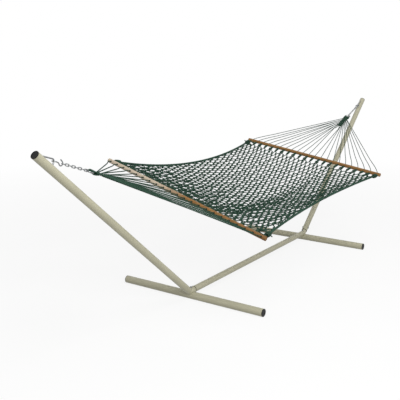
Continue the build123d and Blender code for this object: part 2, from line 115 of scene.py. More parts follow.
# Plaited neck at each ring, with its loose tails
PLAIT_LENGTH = 0.240
PLAIT_WEAVE = 0.165
PLAIT_START = 0.038
PLAIT_WIDTH = 0.058
PLAIT_TIP = 0.046
PLAIT_LAYER = 0.0036
PLAIT_STRANDS = 9
PLAIT_ADVANCE = 0.068
PLAIT_ROPE = 0.0042
PLAIT_LIFT = 0.0034
PLAIT_TAPER = 0.75
TAIL_ROOT = 0.02
TAIL_LENGTH = 0.085
TAIL_SPREAD = (-0.022, 0.014)
TAIL_SHARES = (0, 0.4, 0.75, 1)
TAIL_TAPER = 0.8

# Loops of rope from the plait round the ring
RING_RADIUS = 0.024
RING_WIRE = 0.0035
RING_TURNS = 8
RING_SPREAD = math.radians(58)
RING_ROOT = 0.056

# Corner knots
KNOT_TURNS = 5
KNOT_REACH = 0.056
KNOT_ROPE = 0.0046
KNOT_SEAT = 0.8
KNOT_SWELL = 0.5
KNOT_TAIL_ROOT = 0.006
KNOT_TAIL_LENGTH = 0.030
KNOT_TAIL_RISE = {"near": -0.010, "far": 0.014}
LASHED = (("near", "front"), ("far", "back"))

# Painted shade: thin dark rings that stand for the shadow lines where the stand's tubes plug together
SEAM_SHADOW_RADIUS = 0.0248
SEAM_SHADOW_WIRE = 0.0022
SEAM_SHADOW_STEPS = 32
RIM_DEPTH = 0.001

# Floor, light and the camera at the photograph's place
FLOOR_HALF = 40.0
FLOOR_CORNERS = ((-1, -1), (1, -1), (1, 1), (-1, 1))
FADE_START, FADE_END = 2.0, 6.0
FLOOR_WHITE = 0.85
AMBIENT = 0.40
LAMP_TARGET = (0, 0, 0.6)
CAMERA_PLACE = (-4.7029, -2.6378, 1.799)
CAMERA_AZIMUTH = 0.9735
CAMERA_DIP = 0.2249
CAMERA_LENS = 59.15
CAMERA_SENSOR = 36

rng = np.random.default_rng(7)


def unit(vector):
    return np.asarray(vector, float) / np.linalg.norm(vector)


def box_middle(node):
    low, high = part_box(node)
    return np.array((low + high) / 2)


def node_points(node):
    return np.array([vertex.co for vertex in NODES[node].data.vertices])


def long_direction(node):
    """Unit direction of a straight node, turned towards the back of the hammock."""
    axes = np.linalg.svd(node_points(node) - box_middle(node), full_matrices=False)[2]
    return axes[0] * np.sign(axes[0][1])


BAR_MIDDLE = {end: box_middle(f"{end}_spreader_bar") for end in ENDS}
BAR_DIRECTION = {end: long_direction(f"{end}_spreader_bar") for end in ENDS}
BAR_RADIUS = (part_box("near_spreader_bar")[1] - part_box("near_spreader_bar")[0])[0] / 2
BAR_TILT = {end: math.atan2(BAR_DIRECTION[end][2], BAR_DIRECTION[end][1]) for end in ENDS}
BAR_SPACING = BAR_MIDDLE["far"][0] - BAR_MIDDLE["near"][0]
RING_MIDDLE = {end: box_middle(f"{end}_ring") for end in ENDS}
HOLE_OFFSETS = [(index - (CORD_COUNT - 1) / 2) * HOLE_PITCH for index in range(CORD_COUNT)]
NET_START = END_LOOP / BAR_SPACING


# Bed surface: along runs from the near bar to the far bar, across from the front edge to the back edge
def bed_point(along, across):
    fullness = 4 * along * (1 - along)
    middle = BAR_MIDDLE["near"] + (BAR_MIDDLE["far"] - BAR_MIDDLE["near"]) * along
    tilt = BAR_TILT["near"] + (BAR_TILT["far"] - BAR_TILT["near"]) * along
    aside = np.array([0, math.cos(tilt), math.sin(tilt)])
    down = np.array([0, math.sin(tilt), -math.cos(tilt)])
    lateral = across * (BED_HALF_WIDTH - EDGE_BOW * fullness)
    edge_sag = FRONT_SAG if across < 0 else BACK_SAG
    sag = (BED_SAG + (edge_sag - BED_SAG) * across**2) * fullness
    return middle + aside * lateral + down * sag


def bed_frame(along, across):
    """Point on the bed with its directions ahead, aside and up."""
    step = 1e-3
    ahead = unit(bed_point(along + step, across) - bed_point(along - step, across))
    aside = bed_point(along, across + step) - bed_point(along, across - step)
    up = unit(np.cross(ahead, aside))
    return bed_point(along, across), ahead, np.cross(up, ahead), up


# Clew axes: out from the ring along the pull, across it with the bar, and through it
def clew_axes(end):
    target = BAR_MIDDLE[end] * (1, 0, 1)
    pull = unit(target - RING_MIDDLE[end])
    across = BAR_DIRECTION[end] - pull * BAR_DIRECTION[end].dot(pull)
    return pull, unit(across), unit(np.cross(pull, across))


# Rope meshes: lobed tubes that turn along smooth paths
def smooth_path(points, step, closed=False):
    """Evenly spaced points and tangents on a smooth curve. A fourth column is carried along."""
    points = np.asarray(points, float)
    if closed:
        points = np.vstack([points[-2:], points, points[:3]])
    gaps = np.linalg.norm(np.diff(points[:, :3], axis=0), axis=1)
    knots = np.concatenate([[0], np.cumsum(gaps)])
    slopes = np.gradient(points, knots, axis=0)
    start, stop = (knots[2], knots[-3]) if closed else (knots[0], knots[-1])
    count = max(3, round((stop - start) / step))
    places = np.linspace(start, stop, count, endpoint=not closed)
    index = np.clip(np.searchsorted(knots, places, side="right") - 1, 0, len(gaps) - 1)
    size = gaps[index][:, None]
    t = (places - knots[index])[:, None] / size
    low, high = points[index], points[index + 1]
    low_slope, high_slope = slopes[index] * size, slopes[index + 1] * size
    curve = (2 * t**3 - 3 * t**2 + 1) * low + (t**3 - 2 * t**2 + t) * low_slope
    curve += (3 * t**2 - 2 * t**3) * high + (t**3 - t**2) * high_slope
    heading = (6 * t**2 - 6 * t) * (low - high) + (3 * t**2 - 4 * t + 1) * low_slope
    heading += (3 * t**2 - 2 * t) * high_slope
    heading = heading[:, :3]
    return curve, heading / np.linalg.norm(heading, axis=1)[:, None]


def turning_normals(tangents):
    """Normals that follow the path without turning about it."""
    normals = np.empty_like(tangents)
    start = (0, 0, 1) if abs(tangents[0][2]) < 0.9 else (1, 0, 0)
    normal = np.cross(tangents[0], start)
    for index, tangent in enumerate(tangents):
        normal = normal - tangent * normal.dot(tangent)
        normal /= math.sqrt(normal.dot(normal))
        normals[index] = normal
    return normals


class RopeMesh:
    """Collects rope tubes into one mesh object."""

    def __init__(self, name):
        self.name = name
        self.points = []
        self.corners = []
        self.sizes = []
        self.uvs = []
        self.count = 0

    def add(self, path, radius, lay, step=0.004, sides=6, groove=0.22, closed=False):
        """A lobed tube along a path, of one radius or one for each point."""
        sized_path = np.column_stack([path, np.broadcast_to(radius, len(path))])
        curve, tangents = smooth_path(sized_path, step, closed)
        curve, radii = curve[:, :3], curve[:, 3]
        normals = turning_normals(tangents)
        sideways = np.cross(tangents, normals)
        links = np.linalg.norm(np.diff(curve, axis=0), axis=1)
        length = np.concatenate([[0], np.cumsum(links)])
        whole = length[-1] + (np.linalg.norm(curve[0] - curve[-1]) if closed else 0)
        turns = whole / lay
        slip = 0.0
        if closed:
            turns = round(turns * LOBES) / LOBES
            last = normals[-1] - tangents[0] * normals[-1].dot(tangents[0])
            slip = math.atan2(last.dot(sideways[0]), last.dot(normals[0]))
        twist = (2 * math.pi * turns - slip) * length / whole
        share = np.arange(sides) / sides
        profile = 1 - groove * (0.5 - 0.5 * np.cos(2 * math.pi * LOBES * share))
        angle = 2 * math.pi * share[None, :] + twist[:, None]
        reach = radii[:, None] * profile[None, :]
        ring_points = curve[:, None, :] + normals[:, None, :] * (reach * np.cos(angle))[..., None]
        ring_points += sideways[:, None, :] * (reach * np.sin(angle))[..., None]
        self.points.append(ring_points.reshape(-1, 3))
        rings = len(curve)
        self.add_walls(np.concatenate([length, [whole]]) / lay, rings, sides, closed)
        if not closed:
            self.add_caps(rings, sides)
        self.count += rings * sides

    def add_walls(self, turns, rings, sides, closed):
        """Quads from each ring of points to the next, mapped by turns of lay along the rope."""
        ring = np.arange(rings if closed else rings - 1)
        here = ring[:, None] * sides
        onward = ((ring + 1) % rings)[:, None] * sides
        side = np.arange(sides)[None, :]
        beside = (side + 1) % sides
        corners = (here + side, here + beside, onward + beside, onward + side)
        quads = np.stack([corner.ravel() for corner in corners], axis=1) + self.count
        u0 = np.repeat(turns[ring], sides)
        u1 = np.repeat(turns[ring + 1], sides)
        v0 = np.tile(np.arange(sides) / sides, len(ring))
        v1 = v0 + 1 / sides
        self.corners.append(quads.ravel())
        self.sizes.append(np.full(len(quads), 4))
        self.uvs.append(np.stack([u0, v0, u0, v1, u1, v1, u1, v0], axis=1).ravel())

    def add_caps(self, rings, sides):
        """Flat ends of an open tube."""
        for base, order in ((0, -1), ((rings - 1) * sides, 1)):
            self.corners.append((base + np.arange(sides)[::order]) + self.count)
            self.sizes.append(np.array([sides]))
            self.uvs.append(np.tile([base / rings, 0.5], sides))

    def finish(self, material, body="hammock", slot="rope"):
        """The mesh object, on its body and with its material."""
        corners = np.concatenate(self.corners).astype(np.int32)
        sizes = np.concatenate(self.sizes)
        starts = np.concatenate([[0], np.cumsum(sizes)[:-1]]).astype(np.int32)
        mesh = bpy.data.meshes.new(self.name)
        mesh.vertices.add(self.count)
        mesh.vertices.foreach_set("co", np.concatenate(self.points).ravel())
        mesh.loops.add(len(corners))
        mesh.loops.foreach_set("vertex_index", corners)
        mesh.polygons.add(len(sizes))
        mesh.polygons.foreach_set("loop_start", starts)
        mesh.update(calc_edges=True)
        mesh.uv_layers.new(name="lay").data.foreach_set("uv", np.concatenate(self.uvs))
        mesh.validate()
        mesh.shade_smooth()
        mesh.materials.append(material)
        piece = bpy.data.objects.new(self.name, mesh)
        bpy.context.scene.collection.objects.link(piece)
        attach(piece, body)
        return piece


# Materials: small helpers for node trees
class Finish:
    """A material whose colour, roughness and bump come from nodes."""

    # The mix node's sockets for colours, which share their names with its sockets for numbers
    MIX_FIRST, MIX_SECOND, MIX_RESULT = 6, 7, 2

    def __init__(self, name):
        self.material = bpy.data.materials.new(name)
        self.material.use_nodes = True
        self.tree = self.material.node_tree
        self.shader = self.tree.nodes["Principled BSDF"]

    def node(self, kind, **settings):
        made = self.tree.nodes.new(kind)
        for name, value in settings.items():
            setattr(made, name, value)
        return made

    def link(self, source, target):
        self.tree.links.new(source, target)

    def feed(self, socket, value):
        """Sets a socket to a number or a colour, or links it to another node's output."""
        if isinstance(value, (float, int)):
            socket.default_value = value
        elif isinstance(value, tuple):
            socket.default_value = (*value, 1)
        else:
            self.link(value, socket)

    def set(self, **values):
        for name, value in values.items():
            self.shader.inputs[name.replace("_", " ")].default_value = value

    def object_vector(self, scale=(1, 1, 1), turn=(0, 0, 0)):
        place = self.node("ShaderNodeTexCoord")
        mapping = self.node("ShaderNodeMapping")
        mapping.inputs["Rotation"].default_value = turn
        mapping.inputs["Scale"].default_value = scale
        self.link(place.outputs["Object"], mapping.inputs["Vector"])
        return mapping.outputs["Vector"]

    def noise(self, vector, scale, detail=3.0, roughness=0.5):
        made = self.node("ShaderNodeTexNoise")
        made.inputs["Scale"].default_value = scale
        made.inputs["Detail"].default_value = detail
        made.inputs["Roughness"].default_value = roughness
        self.link(vector, made.inputs["Vector"])
        return made.outputs["Fac"]

    def ramp(self, factor, *stops):
        made = self.node("ShaderNodeValToRGB")
        elements = made.color_ramp.elements
        while len(elements) < len(stops):
            elements.new(0.5)
        for element, (place, colour) in zip(elements, stops):
            element.position = place
            element.color = (*colour, 1)
        self.link(factor, made.inputs["Fac"])
        return made.outputs["Color"]

    def mix(self, factor, first, second):
        made = self.node("ShaderNodeMix", data_type="RGBA")
        self.feed(made.inputs["Factor"], factor)
        self.feed(made.inputs[self.MIX_FIRST], first)
        self.feed(made.inputs[self.MIX_SECOND], second)
        return made.outputs[self.MIX_RESULT]

    def spread(self, value, low, high, start=0.0, stop=1.0):
        made = self.node("ShaderNodeMapRange")
        made.inputs["From Min"].default_value = start
        made.inputs["From Max"].default_value = stop
        made.inputs["To Min"].default_value = low
        made.inputs["To Max"].default_value = high
        self.link(value, made.inputs["Value"])
        return made.outputs["Result"]

    def maths(self, operation, first, second=0.0):
        made = self.node("ShaderNodeMath", operation=operation)
        for socket, value in zip(made.inputs, (first, second)):
            self.feed(socket, value)
        return made.outputs["Value"]

    def reach(self, place, origin, direction):
        """How far a place lies from the origin along a direction."""
        shift = self.node("ShaderNodeVectorMath", operation="SUBTRACT")
        shift.inputs[1].default_value = origin
        self.link(place, shift.inputs[0])
        made = self.node("ShaderNodeVectorMath", operation="DOT_PRODUCT")
        made.inputs[1].default_value = direction
        self.link(shift.outputs["Vector"], made.inputs[0])
        return made.outputs["Value"]

    def bump(self, height, strength, distance):
        made = self.node("ShaderNodeBump")
        made.inputs["Strength"].default_value = strength
        made.inputs["Distance"].default_value = distance
        self.link(height, made.inputs["Height"])
        self.link(made.outputs["Normal"], self.shader.inputs["Normal"])


def powder_coat():
    """Satin taupe paint with a fine orange peel, soft patches and faint scuffs."""
    finish = Finish("powder_coat")
    place = finish.object_vector()
    patches = finish.noise(place, 7.0, 4.0)
    colour = finish.ramp(patches, (0.3, (0.420, 0.402, 0.288)), (0.7, (0.460, 0.440, 0.320)))
    scuffs = finish.noise(finish.object_vector((9, 60, 9)), 4.0, 5.0, 0.65)
    worn = finish.ramp(scuffs, (0.68, (0, 0, 0)), (0.78, (1, 1, 1)))
    colour = finish.mix(worn, colour, (0.50, 0.48, 0.36))
    finish.link(colour, finish.shader.inputs["Base Color"])
    finish.link(finish.spread(patches, 0.36, 0.50), finish.shader.inputs["Roughness"])
    finish.bump(finish.noise(place, 900.0, 2.0), 0.06, 0.0003)
    return finish.material


def black_plastic():
    """Moulded plastic with a fine grain."""
    finish = Finish("black_plastic")
    finish.set(Specular_IOR_Level=0.2)
    place = finish.object_vector()
    cloud = finish.noise(place, 40.0, 3.0)
    colour = finish.ramp(cloud, (0.3, (0.005, 0.005, 0.005)), (0.75, (0.015, 0.016, 0.015)))
    finish.link(colour, finish.shader.inputs["Base Color"])
    finish.link(finish.spread(cloud, 0.42, 0.62), finish.shader.inputs["Roughness"])
    finish.bump(finish.noise(place, 1400.0, 2.0), 0.2, 0.0003)
    return finish.material


def zinc():
    """Zinc plate in patches of random tone, darkened all over as a painted reflection of dark
    surroundings.
    """
    finish = Finish("zinc")
    finish.set(Metallic=1.0)
    place = finish.object_vector()
    cloud = finish.noise(place, 120.0, 4.0, 0.6)
    # Painted reflection: the whole colour is darkened to stand for dark surroundings; the patches vary at
    # random
    colour = finish.ramp(cloud, (0.3, (0.14, 0.15, 0.16)), (0.7, (0.40, 0.41, 0.41)))
    finish.link(colour, finish.shader.inputs["Base Color"])
    finish.link(finish.spread(cloud, 0.24, 0.48), finish.shader.inputs["Roughness"])
    finish.bump(finish.noise(place, 700.0, 3.0), 0.15, 0.0003)
    return finish.material


# Oak: places are metres along a bar from its middle, towards the back
# Painted shade round the cord holes: its reach and its colour
HOLE_SHADE_REACH = (0.0062, 0.0080)
HOLE_SHADE_COLOUR = (0.012, 0.010, 0.006)
PORE_COLOUR = (0.105, 0.044, 0.012)
# Near bar: a painted highlight towards the back, and a darker front part
PAINTED_HIGHLIGHT_SPAN = (-0.02, 0.24)
PAINTED_HIGHLIGHT_SHARE = 0.75
PAINTED_HIGHLIGHT_COLOUR = (0.62, 0.55, 0.44)
DARK_SPAN = (-0.72, -0.10)
DARK_SHARE = 0.45
DARK_COLOUR = (0.090, 0.036, 0.009)


def hole_shade(finish, end):
    """Mask of painted shade round the cord holes of a bar: 1 near each hole."""
    across, through = clew_axes(end)[1:]
    pitch = HOLE_PITCH * across.dot(BAR_DIRECTION[end])
    place = finish.object_vector()
    along = finish.maths("DIVIDE", finish.reach(place, BAR_MIDDLE[end], across), pitch)
    share = finish.maths("SUBTRACT", finish.maths("FRACT", along), 0.5)
    beside = finish.maths("MULTIPLY", share, pitch)
    above = finish.reach(place, BAR_MIDDLE[end], through)
    beside_square = finish.maths("MULTIPLY", beside, beside)
    above_square = finish.maths("MULTIPLY", above, above)
    distance = finish.maths("SQRT", finish.maths("ADD", beside_square, above_square))
    return finish.spread(distance, 1.0, 0.0, *HOLE_SHADE_REACH)


def oak(end):
    """Oiled oak with its grain along the bar, fine pores and painted shade round the cords' holes.

    The near bar has a painted highlight that pales it towards the back, and is darker towards the front.
    """
    finish = Finish(f"{end}_oak")
    finish.set(Specular_IOR_Level=0.22)
    turn = (-BAR_TILT[end], 0, 0)
    grain = finish.noise(finish.object_vector((40, 1.6, 40), turn), 3.0, 6.0, 0.6)
    colour = finish.ramp(
        grain,
        (0.28, (0.150, 0.068, 0.018)),
        (0.50, (0.250, 0.128, 0.040)),
        (0.72, (0.355, 0.200, 0.078)),
    )
    # Painted highlight towards the back of the near bar, and darker towards its front
    if end == "near":
        along = finish.reach(finish.object_vector(), BAR_MIDDLE[end], BAR_DIRECTION[end])
        colour = finish.mix(finish.spread(along, 0.0, PAINTED_HIGHLIGHT_SHARE, *PAINTED_HIGHLIGHT_SPAN), colour, PAINTED_HIGHLIGHT_COLOUR)
        colour = finish.mix(finish.spread(along, DARK_SHARE, 0.0, *DARK_SPAN), colour, DARK_COLOUR)
    pores = finish.noise(finish.object_vector((420, 9, 420), turn), 1.0, 2.0)
    dark = finish.ramp(pores, (0.60, (0, 0, 0)), (0.70, (1, 1, 1)))
    colour = finish.mix(dark, colour, PORE_COLOUR)
    # Painted shade round the cord holes
    colour = finish.mix(hole_shade(finish, end), colour, HOLE_SHADE_COLOUR)
    finish.link(colour, finish.shader.inputs["Base Color"])
    finish.link(finish.spread(grain, 0.45, 0.62), finish.shader.inputs["Roughness"])
    finish.bump(pores, 0.12, 0.0004)
    return finish.material


# Rope: yarn lines around a rope and in each turn of its lay, and their share of its colour
YARNS_AROUND = 24.0
YARNS_IN_TURN = 15.0
YARN_SHARE = 0.35


def rope(name, dark, light):
    """Twisted polyester rope: yarn lines on the strands, patches of colour and a soft sheen."""
    finish = Finish(name)
    finish.set(
        Specular_IOR_Level=0.25,
        Sheen_Weight=0.05,
        Sheen_Roughness=0.5,
        Sheen_Tint=(0.45, 0.80, 0.65, 1.0),
    )
    place = finish.object_vector()
    patches = finish.noise(place, 26.0, 4.0, 0.6)
    lay = finish.node("ShaderNodeUVMap", uv_map="lay")
    parts = finish.node("ShaderNodeSeparateXYZ")
    finish.link(lay.outputs["UV"], parts.inputs["Vector"])
    around = finish.maths("MULTIPLY", parts.outputs["Y"], YARNS_AROUND)
    onward = finish.maths("MULTIPLY", parts.outputs["X"], YARNS_IN_TURN)
    phase = finish.maths("MULTIPLY", finish.maths("ADD", around, onward), 2 * math.pi)
    yarn = finish.spread(finish.maths("SINE", phase), 0.0, 1.0)
    fibre = finish.noise(place, 1500.0, 3.0)
    yarn_light = finish.maths("MULTIPLY", yarn, YARN_SHARE)
    patch_light = finish.maths("MULTIPLY", patches, 1 - YARN_SHARE)
    lit = finish.maths("ADD", yarn_light, patch_light)
    colour = finish.ramp(lit, (0.25, dark), (0.75, light))
    finish.link(colour, finish.shader.inputs["Base Color"])
    finish.link(finish.spread(fibre, 0.55, 0.80), finish.shader.inputs["Roughness"])
    finish.bump(finish.maths("ADD", yarn, fibre), 0.35, 0.0006)
    return finish.material


ROPE = rope("rope", (0.008, 0.026, 0.015), (0.025, 0.083, 0.050))
FINISHES = {
    "powder_coat": powder_coat(),
    "black_plastic": black_plastic(),
    "zinc": zinc(),
    "rope": ROPE,
}
for subpart in frame["record"]["subparts"]:
    node, slot = subpart["node"], subpart["material_slot"]
    materials = NODES[node].data.materials
    materials.clear()
    materials.append(oak(node.split("_")[0]) if slot == "hardwood" else FINISHES[slot])


# Net: rows of rope across the bed, each hooked through the bends of the row before it
def held_bends(cord):
    """Bends of the net's end row that a cord's end loop holds: one and two by turns."""
    first = cord + cord // 2
    return range(first, first + 1 + cord % 2)


GATHERED = []
for cord in range(CORD_COUNT):
    held = held_bends(cord)
    for place in range(len(held)):
        lateral = HOLE_OFFSETS[cord] + (place - (len(held) - 1) / 2) * BEND_PITCH
        GATHERED.append(lateral / BED_HALF_WIDTH)


def level_share(level):
    """How far along the bed a level of the net lies."""
    return NET_START + (1 - 2 * NET_START) * level / LEVELS


def net_node(level, post):
    """Frame of one hooked crossing, moved a little from its even place. Posts are half columns."""
    along = level_share(level)
    even = (post - (NET_COLUMNS - 1)) / NET_COLUMNS
    gather = math.exp(-min(level, LEVELS - level) / GATHER_REACH)
    across = even + (np.interp(post / 2, range(NET_COLUMNS), GATHERED) - even) * gather
    offset = (across - CREASE_PLACE) / CREASE_WIDTH
    crease = math.sin(math.pi * along) * math.exp(-offset**2 / 2)
    across -= CREASE_PULL * math.exp(0.5) * offset * crease
    point, ahead, aside, up = bed_frame(along, across)
    point = point - up * CREASE_DROP * crease
    slack = 1 + SLACK_GAIN * math.exp(-(along - NET_START) / SLACK_REACH)
    drift = rng.uniform(-1, 1, 3) * NODE_DRIFT * slack * (1 - gather)
    return point + ahead * drift[0] + aside * drift[1] + up * drift[2], ahead, aside, up


CROSSINGS = {
    (level, post): net_node(level, post)
    for level in range(LEVELS + 1)
    for post in range(level % 2, LAST_POST + 1, 2)
}


def hook_points(crossing, tip, half_gap):
    """Points of a bend that hooks its partner, from front to back. Tip 1 points at the far bar."""
    point, ahead, aside, up = crossing
    shape = (
        (-half_gap, -HOOK_LEG, NET_RADIUS),
        (-half_gap, HOOK_TIP - HOOK_HALF_GAP, HOOK_LIFT),
        (0, HOOK_TIP, 0),
        (half_gap, HOOK_TIP - HOOK_HALF_GAP, -HOOK_LIFT),
        (half_gap, -HOOK_LEG, -NET_RADIUS),
    )
    return [point + aside * side + ahead * on * tip + up * lift * tip for side, on, lift in shape]


def hook(level, post, tip):
    return hook_points(CROSSINGS[level, post], tip, HOOK_HALF_GAP)


def edge_wrap(level, sign):
    """Points of a rope's turn around an edge rope, over its top and outwards."""
    point, ahead, aside, up = bed_frame(level_share(level), sign)
    return [
        point + (aside * sign * math.cos(angle) + up * math.sin(angle)) * WRAP_REACH + ahead * sign * step
        for angle, step in zip(WRAP_ANGLES, WRAP_STEPS)
    ]


def net_loop(level):
    """Closed path of two rows that share the odd level after this one."""
    path = []
    for post in range(LAST_POST + 1):
        path += hook(level, post, -1) if post % 2 == 0 else hook(level + 1, post, 1)
    path += edge_wrap(level + 1, 1)
    for post in range(LAST_POST, -1, -1):
        bend = hook(level + 2, post, 1) if post % 2 == 0 else hook(level + 1, post, -1)
        path += bend[::-1]
    path += edge_wrap(level + 1, -1)
    return path


for place, share in enumerate(NET_SHARES):
    net = RopeMesh(f"bed_net_{share}")
    for level in range(place * SHARE_LEVELS, (place + 1) * SHARE_LEVELS, 2):
        path = net_loop(level)
        squeeze = np.tile(HOOK_SQUEEZE, len(path) // len(HOOK_SQUEEZE))
        net.add(path, NET_RADIUS * squeeze, CORD_LAY, closed=True)
    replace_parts(net.finish(ROPE), "bed_net")

# Edge ropes
for face, sign in SIDES.items():
    edge = RopeMesh(f"{face}_side_rope")
    route = [bed_point(along, sign) for along in np.linspace(NET_START, 1 - NET_START, EDGE_POINTS)]
    edge.add(route, EDGE_RADIUS, EDGE_LAY, step=0.006, sides=12)
    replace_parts(edge.finish(ROPE), f"{face}_edge_rope")


# Clew cords: each leaves the plait, passes through the bar and holds the net with an end loop
def plait_half_width(distance):
    share = (distance - PLAIT_START) / (PLAIT_LENGTH - PLAIT_START)
    return (PLAIT_WIDTH + (PLAIT_TIP - PLAIT_WIDTH) * share) / 2


def end_crossing(end, cord):
    """Where a cord's end loop holds the net: the frame there, the way of its tip and its half gap."""
    level, tip = (0, 1) if end == "near" else (LEVELS, -1)
    held = held_bends(cord)
    crossing = np.mean([CROSSINGS[level, 2 * bend] for bend in held], axis=0)
    return crossing, tip, HOOK_HALF_GAP + BEND_PITCH / 2 * (len(held) - 1)


def neck_frame(end, cord):
    """Start of an end loop's neck, the way that it runs to the net and the way across its two legs."""
    pull = clew_axes(end)[0]
    face = BAR_MIDDLE[end] + BAR_DIRECTION[end] * HOLE_OFFSETS[cord] + pull * BAR_RADIUS
    axis = unit(end_crossing(end, cord)[0][0] - face)
    beside = unit(BAR_DIRECTION[end] - axis * BAR_DIRECTION[end].dot(axis))
    return face + axis * NECK_START, axis, beside


def clew_cord(end, cord):
    """Path of a cord from the plait, through the bar, round its end loop and back to its neck."""
    pull, across, through = clew_axes(end)
    offset = HOLE_OFFSETS[cord]
    leaving = PLAIT_LENGTH - abs(offset) / HOLE_OFFSETS[-1] * PLAIT_WEAVE
    row = math.copysign(plait_half_width(leaving) - CORD_GRIP, offset)
    layer = PLAIT_LAYER if cord % 2 == 0 else -PLAIT_LAYER
    root = RING_MIDDLE[end] + pull * leaving + across * row + through * layer
    hole = BAR_MIDDLE[end] + BAR_DIRECTION[end] * offset
    entry = hole - pull * (BAR_RADIUS + CORD_STAND_OFF)
    path = [root + (entry - root) * share for share in CORD_SHARES]
    path += [hole - pull * BAR_RADIUS, hole + pull * BAR_RADIUS]
    neck, axis, beside = neck_frame(end, cord)
    path += [neck - beside * LEG_HALF_GAP, neck + axis * NECK_LENGTH - beside * LEG_HALF_GAP]
    path += hook_points(*end_crossing(end, cord))
    path += [neck + axis * NECK_LENGTH + beside * LEG_HALF_GAP, neck + beside * LEG_HALF_GAP]
    return path


def whipping(end, cord):
    """Path of the twine that binds a cord's end loop along its neck."""
    neck, axis, beside = neck_frame(end, cord)
    up = np.cross(axis, beside)
    wide = LEG_HALF_GAP + CORD_RADIUS[end] + TWINE_STAND_OFF
    tall = CORD_RADIUS[end] + TWINE_RADIUS
    path = []
    for step in range(TURN_STEPS * NECK_TURNS + 1):
        angle = 2 * math.pi * step / TURN_STEPS
        onward = axis * NECK_LENGTH * step / (TURN_STEPS * NECK_TURNS)
        path.append(neck + onward + beside * math.cos(angle) * wide + up * math.sin(angle) * tall)
    return path


for end in ENDS:
    cords = RopeMesh(f"{end}_cords")
    twine = RopeMesh(f"{end}_cord_whippings")
    for cord in range(CORD_COUNT):
        cords.add(clew_cord(end, cord), CORD_RADIUS[end], CORD_LAY)
        twine.add(whipping(end, cord), TWINE_RADIUS, TWINE_LAY, step=0.003)
    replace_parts(cords.finish(ROPE), f"{end}_clew_cords")
    twine.finish(ROPE)


# Plaits: strands that pass over and under each other between two slanted sides
def plait_strand(end, strand):
    pull, across, through = clew_axes(end)
    steps = math.floor((PLAIT_LENGTH - PLAIT_START) / PLAIT_ADVANCE * PLAIT_STRANDS)
    path = []
    for step in range(steps + 1):
        distance = PLAIT_START + PLAIT_ADVANCE * step / PLAIT_STRANDS
        phase = (step + 2 * strand) % (2 * PLAIT_STRANDS)
        rising = phase < PLAIT_STRANDS
        lateral = (phase if rising else 2 * PLAIT_STRANDS - phase) / PLAIT_STRANDS * 2 - 1
        turning = phase % PLAIT_STRANDS == 0
        lift = 0 if turning else PLAIT_LIFT * (1 if rising else -1) * (-1) ** step
        half = plait_half_width(distance) - PLAIT_ROPE
        path.append(RING_MIDDLE[end] + pull * distance + across * lateral * half + through * lift)
    return path


def ring_turn(end, share):
    """Closed path of one rope loop from the plait round the ring's wire."""
    pull, across, through = clew_axes(end)
    bearing = RING_SPREAD * share
    half = plait_half_width(RING_ROOT) - PLAIT_ROPE
    wire = RING_MIDDLE[end] + (pull * math.cos(bearing) + across * math.sin(bearing)) * RING_RADIUS
    root = RING_MIDDLE[end] + pull * RING_ROOT + across * share * half
    onward = unit(root - wire)
    reach = RING_WIRE + PLAIT_ROPE
    bends = (
        (wire, -1, 0),
        (wire, -0.6, 0.8),
        (wire, 0.3, 1),
        (root, -1, 0.6),
        (root, 0, 0.4),
        (root, 0.5, 0),
    )
    path = []
    for side in (1, -1):
        points = [place + (onward * on + through * lift * side) * reach for place, on, lift in bends]
        path += points if side == 1 else points[-2:0:-1]
    return path


for end in ENDS:
    pull, across = clew_axes(end)[:2]
    plait = RopeMesh(f"{end}_plait")
    for strand in range(PLAIT_STRANDS):
        path = plait_strand(end, strand)
        radii = np.linspace(PLAIT_ROPE, PLAIT_ROPE * PLAIT_TAPER, len(path))
        plait.add(path, radii, CORD_LAY, step=0.005, sides=FINE_SIDES)
    for turn in range(RING_TURNS):
        share = turn / (RING_TURNS - 1) * 2 - 1
        plait.add(ring_turn(end, share), PLAIT_ROPE, CORD_LAY, sides=FINE_SIDES, closed=True)
    tip = RING_MIDDLE[end] + pull * (PLAIT_LENGTH - TAIL_ROOT)
    for spread in TAIL_SPREAD:
        tail = [tip + pull * TAIL_LENGTH * share + across * spread * share for share in TAIL_SHARES]
        radii = np.linspace(PLAIT_ROPE, PLAIT_ROPE * TAIL_TAPER, len(tail))
        plait.add(tail, radii, CORD_LAY, step=0.005, sides=FINE_SIDES)
    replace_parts(plait.finish(ROPE), f"{end}_clew_plait")


# Corner knots: turns of rope round the edge rope's end, with a short tail and, at two corners, a lashing
def knot_turns(place, ahead, aside, up):
    path = []
    for step in range(TURN_STEPS * KNOT_TURNS + 1):
        share = step / (TURN_STEPS * KNOT_TURNS)
        angle = 2 * math.pi * KNOT_TURNS * share
        swell = EDGE_RADIUS + KNOT_ROPE * (KNOT_SEAT + KNOT_SWELL * math.sin(math.pi * share))
        onward = ahead * KNOT_REACH * (share - 0.5)
        path.append(place + onward + (aside * math.cos(angle) + up * math.sin(angle)) * swell)
    return path


def corner_lashing(start, stop, up):
    """Closed path of a rope turn that ties two places together."""
    reach = unit(stop - start) * KNOT_ROPE
    shape = ((start, -1, 0), (start, 0, 1), (stop, 0, 1), (stop, 1, 0), (stop, 0, -1), (start, 0, -1))
    return [place + reach * out + up * KNOT_ROPE * lift for place, out, lift in shape]


